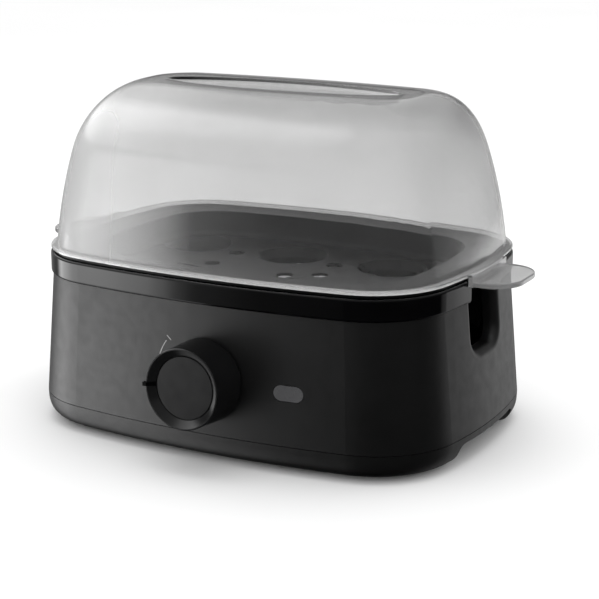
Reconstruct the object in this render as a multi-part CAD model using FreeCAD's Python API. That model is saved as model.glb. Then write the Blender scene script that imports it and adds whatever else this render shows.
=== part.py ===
import FreeCAD, Part
import math
import os

os.makedirs("parts", exist_ok=True)

# Egg cooker, millimetres. X runs along the long side, -Y is the front with the knob, Z is up from the table.
# The body's plan is a soft rectangle: crowned front, back and end arcs joined by round corners.
HALF_LENGTH = 109.5
HALF_DEPTH = 79.0
FRONT_CROWN_R = 499.0
END_CROWN_R = 240.6
CORNER_R = 41.4

# Levels
Z_SKIRT = 1.2
Z_SEAM = 14.2
Z_SHOULDER = 75.8
Z_DECK = 86.2
TRAY_GAP = 0.3
TRAY_RIM = 1.2
LID_GAP = 0.3
LID_BOTTOM = Z_DECK + TRAY_GAP + TRAY_RIM + LID_GAP
LID_TOP = 166.6

# Walls of the body. The body leans out towards the table, more at the ends than at the front.
WALL = 2.4
BAND_PROUD = 1.0
LEAN_END = 4.4
LEAN_FRONT = 2.3
SEAM_GAP = 0.3

# Finger pockets in the two ends: the collar's gap, the shell's narrower cut and its lip, the scoop behind
POCKET_HALF = 17.0
CUT_HALF = 15.0
POCKET_FLOOR = 50.0
POCKET_LIP = 4.0
LIP_DEPTH = 7.5
SCOOP_HALF = 19.0
SCOOP_REACH = 11.0

# Well and heating plate
WELL_HALF_LENGTH = 88.4
WELL_HALF_DEPTH = 61.4
WELL_WALL = 1.8
WELL_FLOOR = 62.0
PLATE_R = 57.0
PLATE_HOLE_R = 51.5
DISH_R = 49.5
DISH_DEPTH = 5.5
PLATE_T = 1.0
GASKET_T = 1.0

# Egg tray
PAN_HALF_LENGTH = 86.0
PAN_HALF_DEPTH = 59.0
PAN_T = 1.5
PAN_FLOOR = 74.6
SEAT_R = 18.0
SEAT_DROP = 5.0
SEAT_PITCH = 57.0
SEAT_ROW = 30.0
SEAT_STAGGER = 9.5
STEAM_R = 4.3

# Lid
LID_T = 2.0
FLANGE_T = 1.4
FLANGE_ROUND = 0.6
FLANGE_INSET = 0.35
LID_WALL_INSET = 3.8
LID_DRAFT = 0.1
END_ROUND = (24.1, 74.2, 1.82)
FRONT_ROUND = (47.2, 28.5, 2.09)
LID_CORNER_LOW = 34.8
LID_CORNER_TOP = 15.9
TAB_HALF = 21.0
TAB_OUT = 20.5
TAB_CORNER_R = 15.0
TAB_T = 2.6
TAB_TOP = 86.4
TAB_ROUND = 0.7

# Knob and its switch, about an axis square to the leaning front wall
KNOB_X = 3.2
KNOB_Z = 40.3
KNOB_TILT = 3.1
KNOB_R_BACK = 19.9
KNOB_R_FRONT = 19.1
KNOB_OUT = 21.4
KNOB_GAP = 0.8
SHAFT_R = 3.0
RUNNING = 0.05

# Indicator window
LENS_X = 45.7
LENS_Z = 39.2
LENS_LENGTH = 14.6
LENS_HEIGHT = 7.3
LENS_GAP = 0.25

# Cord inlet at the back
INLET_X = -52.0
INLET_Z = 27.0
CORD_R = 3.4

# The row's origin is under the middle of the object's box, so everything moves back by this much.
SHIFT_Y = 10.1


def vec(x, y, z):
    return FreeCAD.Vector(x, y, z)


def save(shape, name):
    moved = shape.copy()
    moved.translate(vec(0, SHIFT_Y, 0))
    moved.exportStep("parts/" + name + ".step")
    print(name, len(moved.Solids), round(moved.Volume), moved.isValid())


def box(x0, x1, y0, y1, z0, z1):
    return Part.makeBox(x1 - x0, y1 - y0, z1 - z0, vec(x0, y0, z0))


def rod(r, h, x, y, z, axis=(0, 0, 1)):
    return Part.makeCylinder(r, h, vec(x, y, z), vec(*axis))


def tube(r_out, r_in, h, x, y, z, axis=(0, 0, 1)):
    return rod(r_out, h, x, y, z, axis).cut(rod(r_in, h, x, y, z, axis))


def corner_centre(a, b, r_front, r_end, rc):
    """Centre of the front right corner arc, tangent inside the front arc and the end arc."""
    cfy = r_front - b
    csx = a - r_end
    r1 = r_front - rc
    r2 = r_end - rc
    dx = csx
    dy = -cfy
    gap = math.hypot(dx, dy)
    along = (r1 * r1 - r2 * r2 + gap * gap) / (2 * gap)
    side = math.sqrt(max(0.0, r1 * r1 - along * along))
    mx = dx * along / gap
    my = cfy + dy * along / gap
    options = []
    for s in (1, -1):
        options.append((mx - s * dy / gap * side, my + s * dx / gap * side))
    return max(options, key=lambda c: c[0] - c[1])


def plan_wire(z, a, b, rc, r_front=FRONT_CROWN_R, r_end=END_CROWN_R):
    """Closed wire of eight tangent arcs at height z, half size a by b."""
    cx, cy = corner_centre(a, b, r_front, r_end, rc)
    cfy = r_front - b
    csx = a - r_end
    fx = cx * r_front / (r_front - rc)
    fy = cfy + (cy - cfy) * r_front / (r_front - rc)
    ex = csx + (cx - csx) * r_end / (r_end - rc)
    ey = cy * r_end / (r_end - rc)
    ux = (fx - cx) + (ex - cx)
    uy = (fy - cy) + (ey - cy)
    n = math.hypot(ux, uy)
    kx = cx + rc * ux / n
    ky = cy + rc * uy / n
    arcs = [
        ((-fx, fy), (0, -b), (fx, fy)),
        ((fx, fy), (kx, ky), (ex, ey)),
        ((ex, ey), (a, 0), (ex, -ey)),
        ((ex, -ey), (kx, -ky), (fx, -fy)),
        ((fx, -fy), (0, b), (-fx, -fy)),
        ((-fx, -fy), (-kx, -ky), (-ex, -ey)),
        ((-ex, -ey), (-a, 0), (-ex, ey)),
        ((-ex, ey), (-kx, ky), (-fx, fy)),
    ]
    edges = []
    for p, m, q in arcs:
        edges.append(Part.Arc(vec(p[0], p[1], z), vec(m[0], m[1], z), vec(q[0], q[1], z)).toShape())
    return Part.Wire(edges)


def body_wire(z, end, front):
    """Body plan offset outwards by end at the ends and by front at the front and back."""
    t = min(end, front)
    a = HALF_LENGTH + end
    b = HALF_DEPTH + front
    return plan_wire(z, a, b, CORNER_R + t, FRONT_CROWN_R + t, END_CROWN_R + t)


def prism(wire, h):
    return Part.Face(wire).extrude(vec(0, 0, h))


def body_prism(z0, z1, end, front):
    return prism(body_wire(z0, end, front), z1 - z0)


def rect_prism(z0, z1, a, b, rc):
    return prism(plan_wire(z0, a, b, rc), z1 - z0)


def lean(z):
    """How far the matte wall stands out from the band's plan at height z, at the ends and at the front."""
    s = (Z_SHOULDER - z) / (Z_SHOULDER - Z_SEAM)
    return -BAND_PROUD + (LEAN_END + BAND_PROUD) * s, -BAND_PROUD + (LEAN_FRONT + BAND_PROUD) * s


def leaning_solid(z0, z1, inset):
    wires = []
    for z in (z0, (z0 + z1) / 2, z1):
        end, front = lean(z)
        wires.append(body_wire(z, end - inset, front - inset))
    return Part.makeLoft(wires, True, False)


def stadium(length, height, depth, x, y, z):
    """Pill shape on the front wall, its depth along Y."""
    r = height / 2
    half = length / 2 - r
    p = [vec(x - half, y, z - r), vec(x + half, y, z - r), vec(x + half, y, z + r), vec(x - half, y, z + r)]
    edges = [
        Part.makeLine(p[0], p[1]),
        Part.Arc(p[1], vec(x + half + r, y, z), p[2]).toShape(),
        Part.makeLine(p[2], p[3]),
        Part.Arc(p[3], vec(x - half - r, y, z), p[0]).toShape(),
    ]
    return Part.Face(Part.Wire(edges)).extrude(vec(0, depth, 0))


def front_y(z):
    return -(HALF_DEPTH + lean(z)[1])


def tilted(shape):
    """Turns a shape built along -Y at the knob's centre so its axis is square to the front wall."""
    turned = shape.copy()
    turned.rotate(vec(KNOB_X, front_y(KNOB_Z), KNOB_Z), vec(1, 0, 0), -KNOB_TILT)
    return turned


def u_prism(sign, half, floor, x0, x1, top):
    """U-shaped cutter through an end wall, open at the top."""
    r = half * 0.55
    z = floor
    p = [vec(0, -half, top), vec(0, -half, z + r), vec(0, -half + r, z)]
    q = [vec(0, half - r, z), vec(0, half, z + r), vec(0, half, top)]
    k = r * (1 - math.sqrt(0.5))
    edges = [
        Part.makeLine(p[0], p[1]),
        Part.Arc(p[1], vec(0, -half + k, z + k), p[2]).toShape(),
        Part.makeLine(p[2], q[0]),
        Part.Arc(q[0], vec(0, half - k, z + k), q[1]).toShape(),
        Part.makeLine(q[1], q[2]),
        Part.makeLine(q[2], p[0]),
    ]
    face = Part.Face(Part.Wire(edges))
    face.translate(vec(sign * x0, 0, 0))
    return face.extrude(vec(sign * (x1 - x0), 0, 0))


SCREW_SPOTS = [(x, y) for x in (-83.0, 83.0) for y in (-53.0, 53.0)]
LUG_SPOTS = [(x, y) for x in (-44.0, 44.0) for y in (-68.6, 68.6)]
FOOT_SPOTS = [(x, y) for x in (-64.0, 64.0) for y in (-54.0, 54.0)]
Z_LUG = 58.0


def mouth_edges(shape, sign):
    """Edges where the pocket's opening meets the outer face of the end wall."""
    found = []
    for e in shape.Edges:
        b = e.BoundBox
        m = e.valueAt((e.FirstParameter + e.LastParameter) / 2)
        end = lean(m.z)[0]
        outer = HALF_LENGTH + end - m.y * m.y / (2 * END_CROWN_R)
        on_outer = abs(sign * m.x - outer) < 1.0
        inside = abs(m.y) < POCKET_HALF + 0.2 and POCKET_FLOOR - 1 < m.z < Z_SHOULDER - SEAM_GAP - 0.5
        if on_outer and inside and b.ZMax < Z_SHOULDER + 1:
            found.append(e)
    return found


def outer_shell():
    top = Z_SHOULDER - SEAM_GAP
    shell = leaning_solid(Z_SEAM, top, 0).cut(leaning_solid(Z_SEAM - 1, top + 1, WALL))
    frames = leaning_solid(Z_SEAM, top, 0.2).cut(leaning_solid(Z_SEAM - 1, top + 1, LIP_DEPTH))
    for sign in (-1, 1):
        zone = box(80, 130, -POCKET_HALF - 8, POCKET_HALF + 8, POCKET_FLOOR - 9, top)
        if sign < 0:
            zone = zone.mirror(vec(0, 0, 0), vec(1, 0, 0))
        shell = shell.fuse(frames.common(zone))
    for sign in (-1, 1):
        shell = shell.cut(u_prism(sign, CUT_HALF, POCKET_FLOOR, 85, 130, top + 5))
    shell = shell.removeSplitter()
    for sign in (-1, 1):
        shell = shell.makeFillet(POCKET_LIP, mouth_edges(shell, sign))
    for x, y in SCREW_SPOTS:
        shell = shell.fuse(column(x, y)).cut(rod(1.6, 22, x, y, Z_SEAM + 2))
    for x, y in LUG_SPOTS:
        s = 1 if y > 0 else -1
        lug = box(x - 5, x + 5, min(y - s * 5, s * 90), max(y - s * 5, s * 90), Z_LUG - 2.5, Z_LUG)
        shell = shell.fuse(lug.common(leaning_solid(Z_SEAM, top, 0.4))).cut(rod(1.9, 6, x, y, Z_LUG - 4))
    y = front_y(KNOB_Z)
    shell = shell.cut(tilted(rod(4.6, 12, KNOB_X, y - 3, KNOB_Z, (0, 1, 0))))
    slot = stadium(LENS_LENGTH + 2 * LENS_GAP, LENS_HEIGHT + 2 * LENS_GAP, 14, LENS_X, y - 6, LENS_Z)
    shell = shell.cut(slot)
    for x, z in BOARD_SPOTS:
        boss = tilted(rod(3.2, 40, x, BOARD_Y, z, (0, -1, 0))).common(leaning_solid(Z_SEAM, top, 0.4))
        shell = shell.fuse(boss).cut(tilted(rod(1.1, 7, x, BOARD_Y + 1, z, (0, -1, 0))))
    back = HALF_DEPTH + 8
    return shell.cut(rod(CORD_R + 2.4, 16, INLET_X, back, INLET_Z, (0, -1, 0))).removeSplitter()


def column(x, y):
    """Screw column in a corner, with a web that ties it to the wall."""
    post = rod(4.2, 34, x, y, Z_SEAM + 2)
    web = box(0, 22, -1.2, 1.2, 0, 34)
    web.rotate(vec(0, 0, 0), vec(0, 0, 1), math.degrees(math.atan2(y * 1.25, x)))
    web.translate(vec(x, y, Z_SEAM + 2))
    return post.fuse(web.common(leaning_solid(Z_SEAM, Z_SHOULDER - SEAM_GAP, 0.4)))


def skirt_offset(z):
    """Curve of the skirt under the seam: how far it has drawn in at height z."""
    s = min(1.0, (Z_SEAM - z) / (Z_SEAM - Z_SKIRT))
    return 13.0 * (1 - (1 - s ** 2.7) ** (1 / 2.7))


def skirt_solid(z_low, inset):
    depth = Z_SEAM - z_low
    wires = []
    for part in (0, 0.3, 0.55, 0.74, 0.87, 0.95, 0.99):
        z = Z_SEAM - SEAM_GAP - (depth - SEAM_GAP) * part
        real = Z_SEAM - (Z_SEAM - Z_SKIRT) * part
        t = skirt_offset(real) + inset
        wires.append(body_wire(z, LEAN_END - t, LEAN_FRONT - t))
    return Part.makeLoft(wires, True, False)


def grip_cutter(sign, grow):
    """Hand hold under an end of the base, seen from the side as a low arch."""
    half = 35.0 + grow
    top = 10.8 + grow
    r = 5.0 + grow
    z0 = -2.0
    p = [vec(0, -half, z0), vec(0, half, z0), vec(0, half - 2, top - r), vec(0, half - 2 - r, top)]
    q = [vec(0, -half + 2 + r, top), vec(0, -half + 2, top - r)]
    k = r * (1 - math.sqrt(0.5))
    edges = [
        Part.makeLine(p[0], p[1]),
        Part.makeLine(p[1], p[2]),
        Part.Arc(p[2], vec(0, half - 2 - k, top - k), p[3]).toShape(),
        Part.makeLine(p[3], q[0]),
        Part.Arc(q[0], vec(0, -half + 2 + k, top - k), q[1]).toShape(),
        Part.makeLine(q[1], p[0]),
    ]
    face = Part.Face(Part.Wire(edges))
    face.translate(vec(sign * (92.0 - grow), 0, 0))
    return face.extrude(vec(sign * 40, 0, 0))


def base_cover():
    cover = skirt_solid(Z_SKIRT, 0)
    room = skirt_solid(Z_SKIRT + WALL, WALL)
    room = room.fuse(prism(body_wire(Z_SEAM - 3, LEAN_END - WALL - 1, LEAN_FRONT - WALL - 1), 6))
    for sign in (-1, 1):
        room = room.cut(grip_cutter(sign, WALL))
    cover = cover.cut(room)
    for sign in (-1, 1):
        cover = cover.cut(grip_cutter(sign, 0))
    for x, y in SCREW_SPOTS:
        cover = cover.fuse(rod(5.2, Z_SEAM + 1.8 - Z_SKIRT - 1, x, y, Z_SKIRT + 1))
        cover = cover.cut(rod(1.9, 30, x, y, 0)).cut(rod(3.6, 9.0, x, y, 0))
    for x, y in FOOT_SPOTS:
        cover = cover.cut(rod(7.6, 1.5, x, y, Z_SKIRT - 1)).cut(rod(2.1, 6, x, y, Z_SKIRT - 1))
    for x in BLOCK_SCREWS:
        cover = cover.fuse(rod(3.2, 4, x, BLOCK_Y, Z_SKIRT + 2))
        cover = cover.cut(rod(1.2, 5, x, BLOCK_Y, Z_SKIRT + 1.8))
    return cover.removeSplitter()


def scoop(sign, grow, z0, z1):
    """Half oval column behind a pocket's opening."""
    x = sign * (HALF_LENGTH - LIP_DEPTH - 0.9)
    a = SCOOP_REACH + grow
    b = SCOOP_HALF + grow
    oval = Part.Ellipse(vec(x, b, z0), vec(x - sign * a, 0, z0), vec(x, 0, z0))
    full = Part.Face(Part.Wire([oval.toShape()])).extrude(vec(0, 0, z1 - z0))
    side = box(min(x, x - sign * 40), max(x, x - sign * 40), -b - 1, b + 1, z0 - 1, z1 + 1)
    return full.common(side)


def upper_housing():
    band = body_prism(Z_SHOULDER, Z_DECK, 0, 0)
    band = band.makeFillet(0.9, [e for e in band.Edges if e.BoundBox.ZMax < Z_SHOULDER + 0.1])
    band = band.makeFillet(1.2, [e for e in band.Edges if e.BoundBox.ZMin > Z_DECK - 0.1])
    room = body_prism(Z_SHOULDER - 1, Z_DECK - 2.0, -2.2, -2.2)
    a = WELL_HALF_LENGTH + WELL_WALL
    b = WELL_HALF_DEPTH + WELL_WALL
    well_out = rect_prism(WELL_FLOOR - 2, Z_DECK, a, b, 34)
    outer = -(BAND_PROUD + WALL + 0.2)
    inner = -(BAND_PROUD + WALL + 1.8)
    lip = body_prism(Z_SHOULDER - 5, Z_SHOULDER + 3, outer, outer)
    lip = lip.cut(body_prism(Z_SHOULDER - 6, Z_SHOULDER + 4, inner, inner))
    for sign in (-1, 1):
        gap = box(85, 130, -POCKET_HALF - 9, POCKET_HALF + 9, 60, Z_SHOULDER)
        lip = lip.cut(gap if sign > 0 else gap.mirror(vec(0, 0, 0), vec(1, 0, 0)))
    house = band.cut(room).fuse(lip).fuse(well_out)
    for sign in (-1, 1):
        house = house.fuse(scoop(sign, WELL_WALL, POCKET_FLOOR - 5, Z_DECK))
        cheeks = box(100.0, 130, -POCKET_HALF - 3.5, POCKET_HALF + 3.5, Z_SHOULDER, Z_DECK)
        cheeks = cheeks if sign > 0 else cheeks.mirror(vec(0, 0, 0), vec(1, 0, 0))
        house = house.fuse(cheeks.common(body_prism(Z_SHOULDER, Z_DECK, -0.3, -0.3)))
    house = house.cut(rect_prism(WELL_FLOOR, Z_DECK + 1, WELL_HALF_LENGTH, WELL_HALF_DEPTH, 32.2))
    for sign in (-1, 1):
        house = house.cut(scoop(sign, 0, POCKET_FLOOR - 3, Z_DECK + 1))
        mouth = box(98.0, 130, -POCKET_HALF, POCKET_HALF, Z_SHOULDER - 2, Z_DECK + 1)
        house = house.cut(mouth if sign > 0 else mouth.mirror(vec(0, 0, 0), vec(1, 0, 0)))
    for sign in (-1, 1):
        house = house.cut(behind_lip(sign))
    house = house.cut(rod(PLATE_HOLE_R, 10, 0, 0, WELL_FLOOR - 5))
    for x, y in LUG_SPOTS:
        house = house.fuse(rod(3.8, Z_DECK - 1 - Z_LUG, x, y, Z_LUG)).cut(rod(1.4, 18, x, y, Z_LUG - 1))
    return house.removeSplitter()


def behind_lip(sign):
    """Space kept clear for the shell's thick pocket frame below the shoulder."""
    core = leaning_solid(Z_SEAM - 1, Z_SHOULDER + 1, LIP_DEPTH + 0.25)
    ring = leaning_solid(Z_SEAM, Z_SHOULDER, -2).cut(core)
    zone = box(80, 130, -POCKET_HALF - 9, POCKET_HALF + 9, POCKET_FLOOR - 12, Z_SHOULDER)
    zone = zone if sign > 0 else zone.mirror(vec(0, 0, 0), vec(1, 0, 0))
    return ring.common(zone)


def ring_profile(points):
    """Solid of revolution about Z from a closed list of radius, height pairs."""
    corners = [vec(r, 0, z) for r, z in points]
    face = Part.Face(Part.makePolygon(corners + [corners[0]]))
    return face.revolve(vec(0, 0, 0), vec(0, 0, 1), 360)


Z_PLATE = WELL_FLOOR + GASKET_T


def heating_plate():
    low = Z_PLATE + PLATE_T - DISH_DEPTH
    t = PLATE_T
    pts = [
        (0, low - t),
        (DISH_R - 3, low - t),
        (DISH_R + 0.6, Z_PLATE),
        (PLATE_R, Z_PLATE),
        (PLATE_R, Z_PLATE + t),
        (DISH_R, Z_PLATE + t),
        (DISH_R - 3.6, low),
        (0, low),
    ]
    return ring_profile(pts)


def plate_gasket():
    return tube(PLATE_R + 0.8, PLATE_HOLE_R + 0.2, GASKET_T, 0, 0, WELL_FLOOR)


Z_DISH_UNDER = Z_PLATE + PLATE_T - DISH_DEPTH - PLATE_T
Z_SPREADER = Z_DISH_UNDER - 2.4
ELEMENT_R = 35.0
ELEMENT_TUBE = 3.2
Z_ELEMENT = Z_SPREADER - ELEMENT_TUBE


def heat_spreader():
    disc = rod(44.0, 2.4, 0, 0, Z_SPREADER)
    return disc.fuse(rod(2.5, 14.0, 0, 0, Z_SPREADER - 14.0))


def heating_element():
    circle = Part.makeCircle(ELEMENT_R, vec(0, 0, Z_ELEMENT), vec(0, 0, 1), 20, 340)
    start = circle.valueAt(circle.FirstParameter)
    opening = math.radians(20)
    ahead = vec(-math.sin(opening), math.cos(opening), 0)
    profile = Part.Wire(Part.makeCircle(ELEMENT_TUBE, start, ahead))
    ring = Part.Wire(circle).makePipeShell([profile], True, False)
    for s in (-1, 1):
        a = opening * s
        x = ELEMENT_R * math.cos(a)
        y = ELEMENT_R * math.sin(a)
        ring = ring.fuse(Part.makeSphere(ELEMENT_TUBE, vec(x, y, Z_ELEMENT)))
        ring = ring.fuse(rod(ELEMENT_TUBE, 12, x, y, Z_ELEMENT - 12)).fuse(rod(1.3, 19, x, y, Z_ELEMENT - 19))
    return ring


def clamp_bar():
    low = Z_ELEMENT - ELEMENT_TUBE - 2.2
    bar = box(-7, 7, -57, 57, low, low + 2)
    for s in (-1, 1):
        y0 = s * 57 if s < 0 else 55
        bar = bar.fuse(box(-7, 7, y0, y0 + 2, low, WELL_FLOOR - 2))
    return bar.cut(rod(2.7, 6, 0, 0, low - 1)).removeSplitter()


def clamp_nut():
    low = Z_ELEMENT - ELEMENT_TUBE - 2.2
    pts = []
    for k in range(7):
        pts.append(vec(4.6 * math.cos(k * math.pi / 3), 4.6 * math.sin(k * math.pi / 3), low - 3.2))
    nut = Part.Face(Part.makePolygon(pts)).extrude(vec(0, 0, 3.2))
    return nut.cut(rod(2.55, 6, 0, 0, low - 4))


def thermostat():
    body = rod(7.5, 4.5, 17, 0, Z_SPREADER - 4.5).fuse(rod(6.2, 3.2, 17, 0, Z_SPREADER - 7.7))
    for s in (-1, 1):
        body = body.fuse(box(13.5, 20.5, s * 5 - 0.4, s * 5 + 0.4, Z_SPREADER - 15, Z_SPREADER - 6))
    return body


def thermal_fuse():
    body = rod(2.0, 14, -24, -6, Z_SPREADER - 2.4, (0, 1, 0))
    for y, s in ((-6, -1), (8, 1)):
        body = body.fuse(rod(0.5, 7, -24, y, Z_SPREADER - 2.4, (0, s, 0)))
    return body


def fuse_clip():
    clip = box(-27.2, -20.8, -2, 4, Z_SPREADER - 5.4, Z_SPREADER)
    return clip.cut(rod(2.05, 10, -24, -4, Z_SPREADER - 2.4, (0, 1, 0)))


BOARD_Y = -64.0
BOARD_T = 1.6
BOARD_SPOTS = [(x, z) for x in (-30.0, 59.0) for z in (28.0, 50.0)]


def control_board():
    board = box(-35, 64, BOARD_Y, BOARD_Y + BOARD_T, 24, 54)
    for x, z in BOARD_SPOTS:
        board = board.cut(rod(1.5, 6, x, BOARD_Y - 2, z, (0, 1, 0)))
    for x, z, w, h, d in ((-16, 32, 9, 6, 4), (20, 33, 7, 7, 5), (30, 46, 12, 5, 6), (-18, 46, 6, 9, 7)):
        y = BOARD_Y + BOARD_T
        board = board.fuse(box(x - w / 2, x + w / 2, y, y + d, z - h / 2, z + h / 2))
    return tilted(board.cut(rod(SHAFT_R + 0.6, 6, KNOB_X, BOARD_Y - 2, KNOB_Z, (0, 1, 0))))


def board_screws():
    made = []
    for x, z in BOARD_SPOTS:
        y = BOARD_Y + BOARD_T
        screw = rod(2.4, 1.6, x, y, z, (0, 1, 0)).fuse(rod(1.05, 7.4, x, y, z, (0, -1, 0)))
        screw = screw.cut(box(x - 1.8, x + 1.8, y + 0.9, y + 2, z - 0.3, z + 0.3))
        made.append(tilted(screw))
    return Part.makeCompound(made)


def buzzer():
    y = BOARD_Y
    can = rod(6.0, 5.5, 24, y, 40, (0, -1, 0)).cut(rod(1.2, 2, 24, y - 6, 40, (0, 1, 0)))
    return tilted(can)


def indicator_lamp():
    y = BOARD_Y
    lamp = box(LENS_X - 4, LENS_X + 4, y - 5, y, LENS_Z - 2.5, LENS_Z + 2.5)
    return tilted(lamp.fuse(rod(1.9, 3.2, LENS_X, y - 5, LENS_Z, (0, -1, 0))))


def indicator_lens():
    wall = leaning_solid(Z_SEAM, Z_SHOULDER, 0.05)
    pill = stadium(LENS_LENGTH, LENS_HEIGHT, 9, LENS_X, -84, LENS_Z).common(wall)
    pad = stadium(LENS_LENGTH + 5, LENS_HEIGHT + 5, 9, LENS_X, -84, LENS_Z)
    inner = leaning_solid(Z_SEAM, Z_SHOULDER, WALL + 0.05)
    pad = pad.common(inner).common(box(LENS_X - 20, LENS_X + 20, -90, -73.5, 0, 90))
    return pill.fuse(pad).removeSplitter()


def rotary_switch():
    y = BOARD_Y
    body = box(KNOB_X - 9, KNOB_X + 9, y - 7.5, y, KNOB_Z - 9, KNOB_Z + 9)
    bush = rod(4.3, 7.0, KNOB_X, y - 7.5, KNOB_Z, (0, -1, 0))
    made = body.fuse(bush).cut(rod(SHAFT_R + RUNNING, 30, KNOB_X, y + 5, KNOB_Z, (0, -1, 0)))
    return tilted(made)


def switch_shaft():
    start = BOARD_Y - 0.6
    end = front_y(KNOB_Z) - KNOB_OUT + 8.2
    shaft = rod(SHAFT_R, start - end, KNOB_X, start, KNOB_Z, (0, -1, 0))
    flat = box(KNOB_X - 5, KNOB_X + 5, end - 1, front_y(KNOB_Z) - 3, KNOB_Z + 2.0, KNOB_Z + 5)
    return tilted(shaft.cut(flat))


def turned(points, x, z):
    """Solid of revolution about the knob's axis from radius, y pairs."""
    corners = [vec(x + r, y, z) for r, y in points]
    face = Part.Face(Part.makePolygon(corners + [corners[0]]))
    return face.revolve(vec(x, 0, z), vec(0, 1, 0), 360)


KNOB_DISC_R = 14.9
KNOB_DISH = 3.2


def knob_profile():
    back = front_y(KNOB_Z) - KNOB_GAP
    front = front_y(KNOB_Z) - KNOB_OUT
    return back, front


def knob():
    back, front = knob_profile()
    floor = front + KNOB_DISH + 2.0
    pts = [
        (0, floor),
        (KNOB_DISC_R + 0.15, floor),
        (KNOB_DISC_R + 0.15, front + KNOB_DISH),
        (KNOB_R_FRONT - 1.1, front + 0.3),
        (KNOB_R_FRONT - 0.8, front),
        (KNOB_R_FRONT - 0.3, front),
        (KNOB_R_FRONT, front + 0.3),
        (KNOB_R_BACK, back - 0.4),
        (KNOB_R_BACK - 0.4, back),
        (KNOB_R_BACK - 2.0, back),
        (KNOB_R_FRONT - 2.2, floor + 2.0),
        (5.6, floor + 2.0),
        (5.6, back - 1.0),
        (0, back - 1.0),
    ]
    body = turned(pts, KNOB_X, KNOB_Z)
    bore = rod(SHAFT_R + 0.02, 40, KNOB_X, back + 1, KNOB_Z, (0, -1, 0))
    depth = front + 8.1
    stop = box(KNOB_X - 9, KNOB_X + 9, front - 5, depth, KNOB_Z - 9, KNOB_Z + 9)
    bore = bore.cut(stop).cut(box(KNOB_X - 5, KNOB_X + 5, front - 5, back - 3, KNOB_Z + 2.02, KNOB_Z + 5))
    for k in range(6):
        rib = box(5.0, KNOB_R_FRONT - 1.8, floor + 1.8, back - 4.0, -0.6, 0.6)
        rib.rotate(vec(0, 0, 0), vec(0, 1, 0), 60 * k + 30)
        rib.translate(vec(KNOB_X, 0, KNOB_Z))
        body = body.fuse(rib)
    return tilted(body.cut(bore).cut(pointer_slot(0.03)).removeSplitter())


def pointer_slot(grow):
    """The pointer's bar at nine o'clock, crossing the dished ring and the rim."""
    back, front = knob_profile()
    half = 0.9 + grow
    pts = [
        vec(KNOB_X - KNOB_DISC_R - 0.35 + grow, front + KNOB_DISH - 0.5, 0),
        vec(KNOB_X - KNOB_R_FRONT + 0.6, front - 0.5, 0),
        vec(KNOB_X - KNOB_R_FRONT - 1.3, front - 0.5, 0),
        vec(KNOB_X - KNOB_R_FRONT - 1.3, front + 4.5 + grow, 0),
        vec(KNOB_X - KNOB_R_FRONT + 0.5 + grow, front + 4.5 + grow, 0),
        vec(KNOB_X - KNOB_R_FRONT + 0.5 + grow, front + 2.3 + grow, 0),
        vec(KNOB_X - KNOB_DISC_R - 0.35 + grow, front + KNOB_DISH + 1.2 + grow, 0),
    ]
    bar = Part.Face(Part.makePolygon(pts + [pts[0]])).extrude(vec(0, 0, 2 * half))
    bar.translate(vec(0, 0, KNOB_Z - half))
    return bar


def knob_pointer():
    return tilted(pointer_slot(0))


def knob_cap():
    back, front = knob_profile()
    y = front + KNOB_DISH
    pts = [
        (0, y + 2.0),
        (KNOB_DISC_R, y + 2.0),
        (KNOB_DISC_R, y + 0.2),
        (KNOB_DISC_R - 0.3, y - 0.1),
        (0, y - 0.1),
    ]
    return tilted(turned(pts, KNOB_X, KNOB_Z))


def cross_slot(x, y, z0, z1):
    """Cross recess in a screw's head."""
    along = box(x - 2, x + 2, y - 0.45, y + 0.45, z0, z1)
    return along.fuse(box(x - 0.45, x + 0.45, y - 2, y + 2, z0, z1))


def base_screws():
    made = []
    for x, y in SCREW_SPOTS:
        screw = rod(3.2, 2.4, x, y, 6.6).fuse(rod(1.55, 20, x, y, 9.0))
        made.append(screw.cut(cross_slot(x, y, 6.5, 7.8)))
    return Part.makeCompound(made)


def housing_screws():
    made = []
    for x, y in LUG_SPOTS:
        z = Z_LUG - 2.5
        screw = rod(3.0, 2.2, x, y, z - 2.2).fuse(rod(1.35, 14, x, y, z))
        made.append(screw.cut(cross_slot(x, y, z - 2.3, z - 1.0)))
    return Part.makeCompound(made)


def rubber_feet():
    made = []
    for x, y in FOOT_SPOTS:
        pad = rod(7.4, 1.6, x, y, 0)
        pad = pad.makeFillet(0.5, [e for e in pad.Edges if e.BoundBox.ZMax < 0.1])
        made.append(pad.fuse(rod(2.0, 4.6, x, y, 1.2)).fuse(rod(2.9, 1.2, x, y, 5.0)))
    return Part.makeCompound(made)


BLOCK_Y = 44.0
BLOCK_SCREWS = (-36.0, -4.0)


def terminal_block():
    z = Z_SKIRT + 6
    block = box(-40, 0, BLOCK_Y - 7, BLOCK_Y + 7, z, z + 5)
    block = block.fuse(box(-32, -8, BLOCK_Y - 7, BLOCK_Y + 7, z, z + 13))
    for k in range(3):
        x = -28 + 8 * k
        block = block.cut(rod(2.4, 16, x, BLOCK_Y - 8, z + 5.5, (0, 1, 0)))
        block = block.cut(rod(1.9, 8, x, BLOCK_Y, z + 6))
    for x in BLOCK_SCREWS:
        block = block.cut(rod(1.7, 9, x, BLOCK_Y, z - 1))
    return block


def block_screws():
    made = []
    for x in BLOCK_SCREWS:
        z = Z_SKIRT + 11
        screw = rod(2.8, 1.8, x, BLOCK_Y, z).fuse(rod(1.15, 9.6, x, BLOCK_Y, z - 9.2))
        made.append(screw.cut(box(x - 2, x + 2, BLOCK_Y - 0.35, BLOCK_Y + 0.35, z + 0.8, z + 2)))
    return Part.makeCompound(made)


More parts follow.
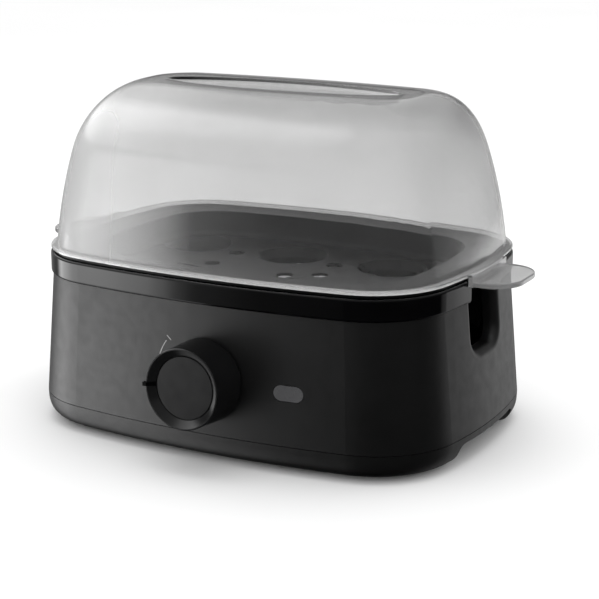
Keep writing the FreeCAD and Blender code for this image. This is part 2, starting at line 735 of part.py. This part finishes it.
def cord_grommet():
    y = HALF_DEPTH + lean(INLET_Z)[1]
    y -= INLET_X * INLET_X / (2 * FRONT_CROWN_R)
    shape = rod(CORD_R + 2.2, WALL + 3.6, INLET_X, y - WALL - 2.6, INLET_Z, (0, 1, 0))
    shape = shape.fuse(rod(CORD_R + 4.4, 2.2, INLET_X, y + 1.0, INLET_Z, (0, 1, 0)))
    shape = shape.fuse(rod(CORD_R + 4.0, 2.0, INLET_X, y - WALL - 3.2, INLET_Z, (0, 1, 0)))
    return shape.cut(rod(CORD_R, 30, INLET_X, y - 15, INLET_Z, (0, 1, 0)))


def seat_spots():
    spots = []
    for row, shift in ((1, -SEAT_STAGGER), (-1, SEAT_STAGGER)):
        for k in (-1, 0, 1):
            spots.append((k * SEAT_PITCH + shift, row * SEAT_ROW))
    return spots


def egg_tray():
    rim_low = Z_DECK + TRAY_GAP
    rim_top = rim_low + TRAY_RIM
    tray = body_prism(rim_low, rim_top, -1.6, -1.6)
    pan_z = PAN_FLOOR - PAN_T
    outer = rect_prism(pan_z, rim_low + 0.5, PAN_HALF_LENGTH + PAN_T, PAN_HALF_DEPTH + PAN_T, 31.5)
    outer = outer.makeFillet(3.5, [e for e in outer.Edges if e.BoundBox.ZMax < pan_z + 0.1])
    inner = rect_prism(PAN_FLOOR, rim_top + 1, PAN_HALF_LENGTH, PAN_HALF_DEPTH, 30.0)
    inner = inner.makeFillet(3.0, [e for e in inner.Edges if e.BoundBox.ZMax < PAN_FLOOR + 0.1])
    tray = tray.fuse(outer)
    tray = tray.cut(inner)
    for x, y in seat_spots():
        low = PAN_FLOOR - SEAT_DROP
        outer_cone = Part.makeCone(SEAT_R - 1.6 + 1.3, SEAT_R + 1.5, SEAT_DROP, vec(x, y, low))
        inner_cone = Part.makeCone(SEAT_R - 1.6, SEAT_R + 0.2, SEAT_DROP, vec(x, y, low))
        tray = tray.fuse(outer_cone).cut(inner_cone)
    for x, y in steam_spots():
        tray = tray.cut(rod(STEAM_R, 6, x, y, PAN_FLOOR - 4))
    return tray.removeSplitter()


def steam_spots():
    """Small holes between the seats: two beside each row and four along the middle."""
    spots = []
    for row, shift in ((1, -SEAT_STAGGER), (-1, SEAT_STAGGER)):
        for k in (-1, 1):
            spots.append((k * SEAT_PITCH / 2 + shift, row * (SEAT_ROW - 9)))
    for x, y in ((-38.0, -4.0), (6.4, -8.4), (21.7, -0.4), (69.0, 11.0)):
        spots.append((x, y))
    return spots


def eased(z, top, shape):
    reach, height, power = shape
    s = min(1.0, max(0.0, (z - (top - height)) / height))
    return reach * (1 - (1 - s ** power) ** (1 / power))


def lid_wire(z, top, inset):
    """Lid plan at height z. The walls draft in and roll over into a narrow crown."""
    draft = LID_DRAFT * (z - LID_BOTTOM)
    dx = draft + eased(z, top, END_ROUND)
    dy = draft + eased(z, top, FRONT_ROUND)
    a = HALF_LENGTH - LID_WALL_INSET - inset - dx
    b = HALF_DEPTH - LID_WALL_INSET - inset - dy
    full = LID_DRAFT * (LID_TOP - LID_BOTTOM)
    w = (dx / (END_ROUND[0] + full) + dy / (FRONT_ROUND[0] + full)) / 2
    rc = LID_CORNER_LOW - inset + (LID_CORNER_TOP - LID_CORNER_LOW) * w
    return plan_wire(z, a, b, min(rc, 0.9 * b), FRONT_CROWN_R, END_CROWN_R)


def lid_dome(low, top, inset):
    drops = [0.02, 0.3, 1.2, 2.8, 5.0, 8.0, 12.0]
    z = top - 17.5
    while z > low + 4.0:
        drops.append(top - z)
        z -= 7.5
    wires = [lid_wire(top - drop, top, inset) for drop in drops]
    wires.append(lid_wire(low, top, inset))
    return Part.makeLoft(wires[::-1], True, False)


def oval_wire(a, b, z):
    return Part.Wire([Part.Ellipse(vec(a, 0, z), vec(0, b, z), vec(0, 0, z)).toShape()])


def top_recess(grow):
    """Shallow oval finger dish in the lid's crown."""
    wires = []
    for drop, a, b in ((-1.5, 65.5, 17.0), (2.2, 61.0, 13.8), (3.6, 56.0, 10.0)):
        wires.append(oval_wire(a + grow, b + grow, LID_TOP - drop - grow))
    return Part.makeLoft(wires, True, True)


def lid_tab(sign):
    """Thin finger tab beyond the flange, over the pocket."""
    x0 = HALF_LENGTH - 8
    x1 = HALF_LENGTH + TAB_OUT
    tab = box(x0, x1, -TAB_HALF, TAB_HALF, TAB_TOP - TAB_T, TAB_TOP)
    tips = [e for e in tab.Edges if e.BoundBox.XMin > x1 - 0.1 and e.BoundBox.ZLength > TAB_T - 0.1]
    tab = tab.makeFillet(TAB_CORNER_R, tips)
    rims = [e for e in tab.Edges if e.BoundBox.ZLength < 0.1 and e.BoundBox.XMax > x0 + 1]
    tab = tab.makeFillet(TAB_ROUND, rims)
    tab = tab.cut(body_prism(TAB_TOP - 5, TAB_TOP + 5, 0.35, 0.35))
    riser = box(x0, x1, -TAB_HALF, TAB_HALF, TAB_TOP - TAB_T, LID_BOTTOM + FLANGE_T)
    riser = riser.common(body_prism(0, 200, 2.2, 2.2)).cut(body_prism(0, 200, 0.35, 0.35))
    link = box(x0, x1, -TAB_HALF, TAB_HALF, LID_BOTTOM, LID_BOTTOM + FLANGE_T)
    link = link.common(body_prism(0, 200, 2.2, 2.2))
    made = tab.fuse(riser).fuse(link)
    return made if sign > 0 else made.mirror(vec(0, 0, 0), vec(1, 0, 0))


def lid():
    dome = lid_dome(LID_BOTTOM, LID_TOP, 0)
    flange = body_prism(LID_BOTTOM, LID_BOTTOM + FLANGE_T, -FLANGE_INSET, -FLANGE_INSET)
    rims = [e for e in flange.Edges if e.BoundBox.ZMin > LID_BOTTOM + 1]
    flange = flange.makeFillet(FLANGE_ROUND, rims)
    shape = dome.fuse(flange)
    for sign in (-1, 1):
        shape = shape.fuse(lid_tab(sign))
    room = lid_dome(LID_BOTTOM - 1.0, LID_TOP - LID_T, LID_T)
    room = room.cut(top_recess(LID_T))
    return shape.cut(room).cut(top_recess(0)).removeSplitter()


def main():
    makers = [
        outer_shell, base_cover, upper_housing, heating_plate, plate_gasket, heat_spreader, heating_element,
        clamp_bar, clamp_nut, thermostat, thermal_fuse, fuse_clip, control_board, board_screws, buzzer,
        indicator_lamp, indicator_lens, rotary_switch, switch_shaft, knob, knob_cap, knob_pointer,
        base_screws, housing_screws, rubber_feet, terminal_block, block_screws, cord_grommet, egg_tray, lid,
    ]
    for maker in makers:
        save(maker(), maker.__name__)


main()
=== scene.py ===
"""Looks for the egg cooker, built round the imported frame. Metres; X along the long side, -Y the front, Z up."""
import math

import bpy
from mathutils import Matrix, Vector


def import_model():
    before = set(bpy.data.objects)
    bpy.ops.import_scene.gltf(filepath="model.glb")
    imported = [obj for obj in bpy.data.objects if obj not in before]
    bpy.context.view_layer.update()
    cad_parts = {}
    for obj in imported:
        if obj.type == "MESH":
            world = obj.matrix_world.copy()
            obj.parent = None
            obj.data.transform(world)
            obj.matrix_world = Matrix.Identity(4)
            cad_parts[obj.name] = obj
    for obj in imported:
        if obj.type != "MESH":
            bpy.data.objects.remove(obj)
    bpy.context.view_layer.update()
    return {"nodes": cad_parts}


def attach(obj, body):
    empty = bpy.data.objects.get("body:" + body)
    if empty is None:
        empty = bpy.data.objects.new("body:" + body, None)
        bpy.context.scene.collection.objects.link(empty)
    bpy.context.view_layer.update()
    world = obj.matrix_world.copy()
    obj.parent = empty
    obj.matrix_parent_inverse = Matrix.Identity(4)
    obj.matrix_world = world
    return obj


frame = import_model()
NODES = frame["nodes"]

# ---------------------------------------------------------------- node helpers


class Nodes:
    """Short names for building one material's node tree."""

    def __init__(self, name):
        self.mat = bpy.data.materials.new(name)
        self.mat.use_nodes = True
        self.tree = self.mat.node_tree
        self.tree.nodes.clear()
        self.out = self.add("ShaderNodeOutputMaterial")
        self.shader = self.add("ShaderNodeBsdfPrincipled")
        self.link(self.shader.outputs[0], self.out.inputs["Surface"])
        self.place = self.add("ShaderNodeTexCoord").outputs["Object"]

    def add(self, kind, **values):
        node = self.tree.nodes.new(kind)
        for key, value in values.items():
            if key in node.inputs:
                node.inputs[key].default_value = value
            else:
                setattr(node, key, value)
        return node

    def link(self, a, b):
        self.tree.links.new(a, b)

    def set(self, **values):
        for key, value in values.items():
            self.shader.inputs[key.replace("_", " ")].default_value = value

    def noise(self, scale, detail=2.0, rough=0.5, stretch=None):
        node = self.add("ShaderNodeTexNoise", Scale=scale, Detail=detail, Roughness=rough)
        place = self.place
        if stretch:
            mapping = self.add("ShaderNodeMapping")
            mapping.inputs["Scale"].default_value = stretch
            self.link(self.place, mapping.inputs["Vector"])
            place = mapping.outputs[0]
        self.link(place, node.inputs["Vector"])
        return node.outputs["Fac"]

    def spread(self, fac, low, high, start=0.3, end=0.7):
        """Maps a 0-1 pattern onto low..high."""
        node = self.add("ShaderNodeMapRange")
        for key, value in (("From Min", start), ("From Max", end), ("To Min", low), ("To Max", high)):
            node.inputs[key].default_value = value
        self.link(fac, node.inputs["Value"])
        return node.outputs[0]

    def shades(self, fac, dark, light, start=0.3, end=0.7):
        """Colours a 0-1 pattern between two close shades."""
        ramp = self.add("ShaderNodeValToRGB")
        ramp.color_ramp.elements[0].position = start
        ramp.color_ramp.elements[1].position = end
        ramp.color_ramp.elements[0].color = (*dark, 1)
        ramp.color_ramp.elements[1].color = (*light, 1)
        self.link(fac, ramp.inputs[0])
        return ramp.outputs[0]

    def bump(self, height, strength, distance, under=None):
        node = self.add("ShaderNodeBump", Strength=strength, Distance=distance)
        self.link(height, node.inputs["Height"])
        if under is not None:
            self.link(under, node.inputs["Normal"])
        return node.outputs[0]


def moulded(name, dark, light, rough, grain, depth, **shader):
    """Moulded plastic: mottled shade, roughness that wanders, and an eroded fine grain."""
    m = Nodes(name)
    m.set(IOR=1.46, **shader)
    m.link(m.shades(m.noise(38, 3), dark, light), m.shader.inputs["Base Color"])
    m.link(m.spread(m.noise(210, 4), *rough), m.shader.inputs["Roughness"])
    fine = m.bump(m.noise(grain, 3, 0.6), 0.35, depth)
    flow = m.bump(m.noise(24, 1), 0.08, depth * 6, fine)
    m.link(flow, m.shader.inputs["Normal"])
    return m.mat


def metal(name, dark, light, rough, stretch=(1, 1, 1), grain=500, depth=2e-5):
    """Rolled or plated metal: directional streaks in shade, roughness and height."""
    m = Nodes(name)
    m.set(Metallic=1.0)
    streaks = m.noise(grain, 5, 0.6, stretch)
    m.link(m.shades(streaks, dark, light), m.shader.inputs["Base Color"])
    m.link(m.spread(m.noise(60, 4), *rough), m.shader.inputs["Roughness"])
    m.link(m.bump(streaks, 0.25, depth), m.shader.inputs["Normal"])
    return m.mat


# Painted light: lower transmission, so a whiter lid, in a patch towards the front left and in a band along the
# flange, standing in for light falling from the left and caught by the flange edge.
PAINTED_LIGHT_X = (-0.072, -0.008)
PAINTED_LIGHT_Y = (-0.05, 0.01)
PAINTED_FLANGE_LIGHT_Z = (0.0882, 0.0900)
PAINTED_LIGHT_MOST = 0.62
SMOKE_DENSITY = 110.0


def clear_lid():
    """Smoke-grey plastic, darker where it is seen along, with painted light: it is made hazier and whiter towards
    the front left and in the flange, where light falls on it.
    """
    m = Nodes("lid_smoke")
    m.set(IOR=1.2, Coat_Weight=1.0, Coat_IOR=1.5)
    m.link(m.shades(m.noise(26, 2), (0.93, 0.93, 0.93), (0.96, 0.96, 0.96)), m.shader.inputs["Base Color"])
    m.link(m.spread(m.noise(140, 3), 0.045, 0.06), m.shader.inputs["Roughness"])
    m.link(m.spread(m.noise(90, 3), 0.18, 0.21), m.shader.inputs["Coat Roughness"])
    m.link(m.bump(m.noise(22, 1), 0.03, 2e-4), m.shader.inputs["Normal"])
    # Painted light mask: the front-left patch and the flange band lose transmission and show the white base
    # colour.
    axes = m.add("ShaderNodeSeparateXYZ")
    m.link(m.place, axes.inputs[0])
    painted_light_left = m.spread(axes.outputs[0], 1.0, 0.0, *PAINTED_LIGHT_X)
    painted_light_front = m.spread(axes.outputs[1], 1.0, 0.0, *PAINTED_LIGHT_Y)
    painted_light_patch = m.add("ShaderNodeMath", operation="MULTIPLY")
    m.link(painted_light_left, painted_light_patch.inputs[0])
    m.link(painted_light_front, painted_light_patch.inputs[1])
    painted_light_mask = m.add("ShaderNodeMath", operation="MAXIMUM")
    m.link(painted_light_patch.outputs[0], painted_light_mask.inputs[0])
    m.link(m.spread(axes.outputs[2], 0.4, 0.0, *PAINTED_FLANGE_LIGHT_Z), painted_light_mask.inputs[1])
    m.link(m.spread(painted_light_mask.outputs[0], 1.0, PAINTED_LIGHT_MOST, 0.0, 1.0), m.shader.inputs["Transmission Weight"])
    absorb = m.add("ShaderNodeVolumeAbsorption")
    absorb.inputs["Color"].default_value = (0.1, 0.1, 0.1, 1)
    absorb.inputs["Density"].default_value = SMOKE_DENSITY
    m.link(absorb.outputs[0], m.out.inputs["Volume"])
    return m.mat


MATERIALS = {
    "matte": moulded("shell_matte_black", (0.0028, 0.0028, 0.003), (0.0045, 0.0045, 0.0048),
                     (0.42, 0.48), 2600, 6e-5, Specular_IOR_Level=0.6),
    "gloss": moulded("collar_gloss_black", (0.0006, 0.0006, 0.0007), (0.0012, 0.0012, 0.0014),
                     (0.05, 0.09), 900, 4e-6, Specular_IOR_Level=0.3),
    "knob": moulded("knob_satin_black", (0.004, 0.004, 0.0042), (0.006, 0.006, 0.0063),
                    (0.20, 0.26), 2200, 1.5e-5, Specular_IOR_Level=0.4),
    "tray": moulded("tray_satin_black", (0.002, 0.002, 0.0022), (0.004, 0.004, 0.0044),
                    (0.30, 0.36), 2600, 2e-6, Specular_IOR_Level=0.1),
    "pointer": moulded("pointer_dead_black", (0.0006, 0.0006, 0.0007), (0.0012, 0.0012, 0.0014),
                       (0.5, 0.6), 2200, 1e-5, Specular_IOR_Level=0.08),
    "lens": moulded("lens_smoke_grey", (0.055, 0.055, 0.057), (0.075, 0.075, 0.078),
                    (0.22, 0.30), 1800, 1e-5),
    "print": moulded("scale_ink_grey", (0.34, 0.34, 0.34), (0.42, 0.42, 0.42), (0.45, 0.6), 4000, 1e-5),
    "rubber": moulded("foot_rubber", (0.012, 0.012, 0.012), (0.022, 0.022, 0.022), (0.72, 0.9), 1500, 8e-5),
    "silicone": moulded("gasket_silicone", (0.30, 0.29, 0.27), (0.38, 0.37, 0.35), (0.5, 0.65), 900, 2e-5),
    "phenolic": moulded("phenolic_brown", (0.045, 0.022, 0.014), (0.08, 0.04, 0.024),
                        (0.3, 0.45), 800, 2e-5),
    "fuse": moulded("fuse_sleeve_white", (0.62, 0.60, 0.54), (0.74, 0.72, 0.66), (0.35, 0.5), 600, 1e-5),
    "board": moulded("board_green", (0.012, 0.06, 0.025), (0.02, 0.10, 0.04), (0.25, 0.4), 700, 1e-5),
    "lamp": moulded("lamp_epoxy", (0.55, 0.10, 0.03), (0.7, 0.16, 0.05), (0.08, 0.16), 500, 5e-6),
    "nylon": moulded("nylon_white", (0.55, 0.54, 0.50), (0.68, 0.67, 0.62), (0.4, 0.55), 900, 2e-5),
    "plate": metal("plate_brushed_steel", (0.50, 0.50, 0.51), (0.66, 0.66, 0.67),
                   (0.22, 0.36), (1, 14, 1), 260),
    "spreader": metal("spreader_cast_aluminium", (0.42, 0.42, 0.43), (0.6, 0.6, 0.61), (0.42, 0.6)),
    "element": metal("element_oxidised_sheath", (0.10, 0.10, 0.11), (0.2, 0.19, 0.19), (0.4, 0.6), (1, 1, 6)),
    "zinc": metal("screw_zinc", (0.55, 0.55, 0.57), (0.72, 0.72, 0.74), (0.25, 0.42)),
    "lid": clear_lid(),
}

FINISH = {
    "outer_shell": "matte",
    "base_cover": "matte",
    "upper_housing": "gloss",
    "knob": "knob",
    "knob_cap": "knob",
    "knob_pointer": "pointer",
    "indicator_lens": "lens",
    "egg_tray": "tray",
    "lid": "lid",
    "heating_plate": "plate",
    "plate_gasket": "silicone",
    "heat_spreader": "spreader",
    "heating_element": "element",
    "clamp_bar": "zinc",
    "clamp_nut": "zinc",
    "thermostat": "phenolic",
    "thermal_fuse": "fuse",
    "fuse_clip": "zinc",
    "control_board": "board",
    "board_screws": "zinc",
    "buzzer": "phenolic",
    "indicator_lamp": "lamp",
    "rotary_switch": "nylon",
    "switch_shaft": "nylon",
    "base_screws": "zinc",
    "housing_screws": "zinc",
    "rubber_feet": "rubber",
    "terminal_block": "nylon",
    "block_screws": "zinc",
    "cord_grommet": "rubber",
}
for node, finish in FINISH.items():
    slots = NODES[node].data.materials
    slots.clear()
    slots.append(MATERIALS[finish])

# ---------------------------------------------------------------- printed marks beside the knob

KNOB_X, KNOB_Z = 0.0032, 0.0403
INK_WIDTH = 0.00045
INK_PROUD = 0.00004
ARC_RADIUS = 0.0267
ARC_START = 161
ARC_STEPS = 18
MARK_ANGLE = 139.5
MARK_START = 0.0250
MARK_STEP = 0.00031
MARK_STEPS = 11


def on_front(x, z):
    """Point of the shell's front wall straight behind x, z."""
    shell = NODES["outer_shell"]
    inverse = shell.matrix_world.inverted()
    start = inverse @ Vector((x, -0.2, z))
    hit, place, _, _ = shell.ray_cast(start, inverse.to_3x3() @ Vector((0, 1, 0)))
    return shell.matrix_world @ place if hit else Vector((x, -0.07, z))


def ink_line(name, path):
    """Thin raised ribbon of ink along a path of x, z points on the front wall."""
    points, faces = [], []
    for i, (x, z) in enumerate(path):
        x0, z0 = path[max(i - 1, 0)]
        x1, z1 = path[min(i + 1, len(path) - 1)]
        length = math.hypot(x1 - x0, z1 - z0)
        side_x, side_z = -(z1 - z0) / length, (x1 - x0) / length
        for across, out in ((-1, 1), (1, 1), (1, -1), (-1, -1)):
            place = on_front(x + across * side_x * INK_WIDTH / 2, z + across * side_z * INK_WIDTH / 2)
            points.append(place - Vector((0, out * INK_PROUD, 0)))
    for i in range(len(path) - 1):
        a, b = 4 * i, 4 * i + 4
        faces += [(a + k, a + (k + 1) % 4, b + (k + 1) % 4, b + k) for k in range(4)]
    last = 4 * len(path) - 4
    faces += [(3, 2, 1, 0), (last, last + 1, last + 2, last + 3)]
    mesh = bpy.data.meshes.new(name)
    mesh.from_pydata(points, [], faces)
    mesh.materials.append(MATERIALS["print"])
    obj = bpy.data.objects.new(name, mesh)
    bpy.context.scene.collection.objects.link(obj)
    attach(obj, "base")


def round_knob(radius, degrees):
    """The x, z of a point round the knob's centre; 180 degrees is nine o'clock."""
    a = math.radians(degrees)
    return KNOB_X + radius * math.cos(a), KNOB_Z + radius * math.sin(a)


ink_line("scale_arc", [round_knob(ARC_RADIUS, ARC_START - i) for i in range(ARC_STEPS)])
ink_line("scale_start_mark", [round_knob(MARK_START + MARK_STEP * i, MARK_ANGLE) for i in range(MARK_STEPS)])

# ---------------------------------------------------------------- stage, lights, camera

# The camera looks at TARGET from this compass angle and height, along its own axis
AZIMUTH = math.radians(28.147)
ELEVATION = math.radians(15.167)
ROLL = math.radians(-0.087)
DISTANCE = 0.8524
LENS = 102.24
TARGET = Vector((0.00778, 0.01426, 0.05916))
SENSOR = 36.0

FLOOR_RADIUS = 9.0
FLOOR_SIDES = 96
WORLD_LEVEL = 1.16
TOP_SIZE = (1.0, 0.9)
TOP_RADIANCE = 1.6
TOP_PLACE = (0, 0.1, 1.3)
DOME_RADIUS = 1.0
DOME_HEIGHT = 0.09
DOME_STEPS = 120

# Brightness of the dome by compass angle: low down, level with the lid, and overhead
LOW_LEVELS = (
    (-180, 0.5), (-100, 0.3), (-94, 0.6), (-84, 7.0), (-46, 7.0), (-38, 5.5), (-32, 0.7), (-20, 0.2),
    (0, 0.06), (30, 0.02), (120, 0.02), (128, 0.7), (138, 1.4), (150, 1.8), (180, 0.6),
)
HIGH_LEVELS = (
    (-180, 0.5), (-110, 0.5), (-84, 0.4), (-62, 0.7), (-50, 2.2), (-38, 2.2), (-28, 0.8), (-18, 0.2),
    (-4, 0.08), (122, 0.05), (140, 0.5), (180, 0.5),
)
SKY_LEVELS = (
    (-180, 0.6), (-130, 1.0), (-112, 3.4), (-75, 3.4), (-50, 1.8), (-20, 0.7),
    (30, 0.4), (120, 0.4), (180, 0.6),
)
# Each ring of the dome: elevation in degrees, brightness, and a factor on it
DOME_RINGS = (
    (-60, LOW_LEVELS, 0.15), (-25, LOW_LEVELS, 0.4), (-9, LOW_LEVELS, 1.0), (-5, HIGH_LEVELS, 1.0),
    (3, HIGH_LEVELS, 1.0), (14, SKY_LEVELS, 0.15), (22, SKY_LEVELS, 0.8), (40, SKY_LEVELS, 0.8),
    (55, SKY_LEVELS, 0.9), (70, SKY_LEVELS, 0.6), (88, SKY_LEVELS, 0.3),
)


def camera():
    right = Vector((math.cos(AZIMUTH), math.sin(AZIMUTH), 0))
    back = Vector((math.sin(AZIMUTH) * math.cos(ELEVATION), -math.cos(AZIMUTH) * math.cos(ELEVATION),
                   math.sin(ELEVATION)))
    up = back.cross(right)
    x = right * math.cos(ROLL) + up * math.sin(ROLL)
    y = up * math.cos(ROLL) - right * math.sin(ROLL)
    data = bpy.data.cameras.new("camera")
    data.lens = LENS
    data.sensor_width = SENSOR
    data.clip_start, data.clip_end = 0.01, 50
    cam = bpy.data.objects.new("camera", data)
    bpy.context.scene.collection.objects.link(cam)
    turn = Matrix((x, y, back)).transposed().to_4x4()
    cam.matrix_world = Matrix.Translation(TARGET + back * DISTANCE) @ turn
    bpy.context.scene.camera = cam


def floor():
    mesh = bpy.data.meshes.new("floor")
    n, r = FLOOR_SIDES, FLOOR_RADIUS
    ring = [(r * math.cos(2 * math.pi * i / n), r * math.sin(2 * math.pi * i / n), 0) for i in range(n)]
    mesh.from_pydata(ring, [], [list(range(n))])
    obj = bpy.data.objects.new("floor", mesh)
    bpy.context.scene.collection.objects.link(obj)
    m = Nodes("floor_paper")
    m.link(m.shades(m.noise(3, 2), (0.86, 0.86, 0.86), (0.88, 0.88, 0.88)), m.shader.inputs["Base Color"])
    m.set(Roughness=0.9, Specular_IOR_Level=0.1)
    mesh.materials.append(m.mat)
    obj.visible_glossy = False


def level_at(levels, angle):
    """Brightness at one compass angle (0 is the front, 90 the right), between the listed pairs."""
    for (a0, v0), (a1, v1) in zip(levels, levels[1:]):
        if a0 <= angle <= a1:
            return v0 + (v1 - v0) * (angle - a0) / (a1 - a0)
    return 0.0


def light_dome(name, radius, rings):
    """Dome of graded light round the object, seen only in reflections.

    Each ring is an elevation in degrees, a list of compass angle and brightness pairs, and a factor on them.
    """
    points, glow, faces = [], [], []
    for elevation, levels, share in rings:
        e = math.radians(elevation)
        for i in range(DOME_STEPS + 1):
            angle = -180 + 360 * i / DOME_STEPS
            a = math.radians(angle)
            spot = Vector((math.sin(a) * math.cos(e), -math.cos(a) * math.cos(e), math.sin(e)))
            points.append(spot * radius + Vector((0, 0, DOME_HEIGHT)))
            glow.append(share * level_at(levels, angle))
    row = DOME_STEPS + 1
    for k in range(0, row * (len(rings) - 1), row):
        faces += [(k + i, k + i + 1, k + row + i + 1, k + row + i) for i in range(DOME_STEPS)]
    mesh = bpy.data.meshes.new(name)
    mesh.from_pydata(points, [], faces)
    mesh.attributes.new("glow", "FLOAT", "POINT").data.foreach_set("value", glow)
    obj = bpy.data.objects.new(name, mesh)
    bpy.context.scene.collection.objects.link(obj)
    m = Nodes(name + "_glow")
    m.set(Base_Color=(0, 0, 0, 1), Emission_Color=(1, 1, 1, 1), Specular_IOR_Level=0.0)
    level = m.add("ShaderNodeAttribute", attribute_name="glow").outputs["Fac"]
    uneven = m.add("ShaderNodeMath", operation="MULTIPLY")
    m.link(level, uneven.inputs[0])
    m.link(m.spread(m.noise(4, 1), 0.96, 1.04), uneven.inputs[1])
    m.link(uneven.outputs[0], m.shader.inputs["Emission Strength"])
    mesh.materials.append(m.mat)
    obj.visible_camera = False
    obj.visible_diffuse = False
    obj.visible_transmission = False
    obj.visible_shadow = False


def world():
    w = bpy.data.worlds.new("studio")
    w.use_nodes = True
    w.node_tree.nodes["Background"].inputs[0].default_value = (1, 1, 1, 1)
    w.node_tree.nodes["Background"].inputs[1].default_value = WORLD_LEVEL
    w.cycles_visibility.glossy = False
    bpy.context.scene.world = w


def top_light():
    """Large soft light straight above, facing down and left out of reflections."""
    width, depth = TOP_SIZE
    data = bpy.data.lights.new("softbox_top", "AREA")
    data.shape = "RECTANGLE"
    data.size, data.size_y = width, depth
    data.energy = TOP_RADIANCE * math.pi * width * depth
    light = bpy.data.objects.new("softbox_top", data)
    bpy.context.scene.collection.objects.link(light)
    light.location = TOP_PLACE
    light.visible_glossy = False


camera()
floor()
world()
light_dome("light_dome", DOME_RADIUS, DOME_RINGS)
top_light()
bpy.context.scene.view_settings.view_transform = "Standard"
